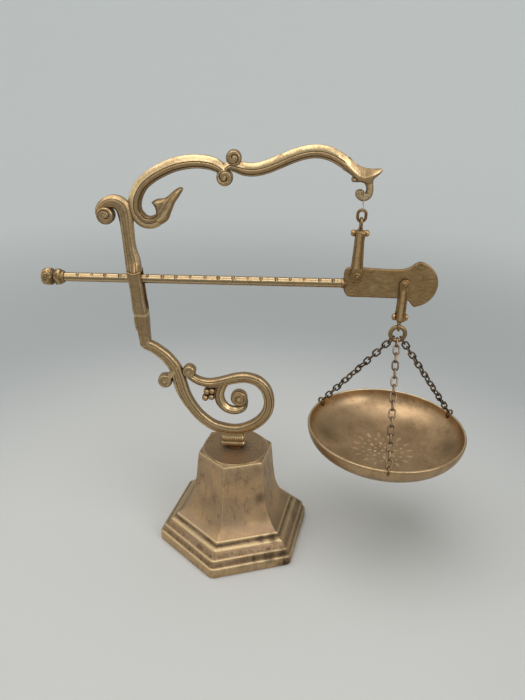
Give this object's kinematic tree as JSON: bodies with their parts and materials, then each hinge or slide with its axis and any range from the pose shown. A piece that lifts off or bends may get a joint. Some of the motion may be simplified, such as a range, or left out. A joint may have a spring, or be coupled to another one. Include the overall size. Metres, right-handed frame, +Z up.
{
  "type": "weighing scale",
  "caption": "Free-standing brass steelyard scale: scrolled stand on a six-sided pedestal, notched beam hung from a hook, and a round pan on chains.",
  "frame": {"origin": "centre of the pedestal's underside, on the surface it stands on", "axes": "+X along the beam towards the pan, +Y across the beam away from the front, +Z up"},
  "size_m": [0.3749, 0.1478, 0.3699],
  "materials": {
    "cast_brass": "aged cast brass, satin with dark recesses",
    "felt": "wool felt",
    "dark_brass": "dark tarnished brass",
    "turned_brass": "turned brass, lightly worn",
    "forged_brass": "hand-filed brass, satin",
    "plate_brass": "brushed brass plate, matte",
    "pan_brass": "spun brass sheet, satin inside",
    "chain_brass": "dark drawn brass wire"
  },
  "bodies": {
    "stand": {"base_casting": "cast_brass", "base_pad": "felt", "foot_stud": "dark_brass", "stud_washer": "turned_brass", "stud_nut": "dark_brass", "neck_washer": "dark_brass", "lower_scroll": "cast_brass", "column_dowel": "dark_brass", "column_arch": "cast_brass", "arm_dowel": "dark_brass", "hook_arm": "cast_brass"},
    "link_set": {"wire_loop": "turned_brass", "top_link": "dark_brass"},
    "upper_hanger": {"upper_eye": "turned_brass", "upper_shackle": "forged_brass", "upper_pin": "turned_brass"},
    "beam": {"beam_bar": "forged_brass", "beam_plate": "plate_brass", "beam_knob": "turned_brass"},
    "pan_shackle": {"lower_pin": "turned_brass", "lower_shackle": "forged_brass"},
    "pan_eye": {"lower_eye": "turned_brass"},
    "ring": {"pan_ring": "turned_brass"},
    "pan_set": {"chain_left": "chain_brass", "chain_right": "chain_brass", "chain_front": "chain_brass", "rim_hook_left": "chain_brass", "rim_hook_right": "chain_brass", "rim_hook_front": "chain_brass", "pan": "pan_brass"}
  },
  "joints": [
    {"name": "link_swing", "type": "hinge", "parent": "stand", "child": "link_set", "pos_m": [0.0985, 0, 0.3362], "axis": [0, 1, 0], "range_deg": [-10, 10]},
    {"name": "shackle_level", "type": "hinge", "parent": "link_set", "child": "upper_hanger", "pos_m": [0.0985, 0, 0.31515], "axis": [0, 1, 0], "range_deg": [-10, 10]},
    {"name": "beam_tilt", "type": "hinge", "parent": "upper_hanger", "child": "beam", "pos_m": [0.0985, 0, 0.2685], "axis": [0, -1, 0], "range_deg": [0, 6.6]},
    {"name": "pan_level", "type": "hinge", "parent": "beam", "child": "pan_shackle", "pos_m": [0.1385, 0, 0.2628], "axis": [0, -1, 0], "range_deg": [-6.6, 0]},
    {"name": "pan_swivel", "type": "hinge", "parent": "pan_shackle", "child": "pan_eye", "pos_m": [0.1385, 0, 0.233], "axis": [0, 0, 1], "continuous": true},
    {"name": "pan_rock", "type": "hinge", "parent": "pan_eye", "child": "ring", "pos_m": [0.1385, 0, 0.22405], "axis": [1, 0, 0], "range_deg": [-12, 12]},
    {"name": "pan_swing", "type": "hinge", "parent": "ring", "child": "pan_set", "pos_m": [0.1385, 0, 0.2178], "axis": [0, 1, 0], "range_deg": [-12, 12]}
  ],
  "couplings": [
    {"joint": "shackle_level", "follows": "link_swing", "ratio": -1},
    {"joint": "pan_level", "follows": "beam_tilt", "ratio": -1}
  ]
}
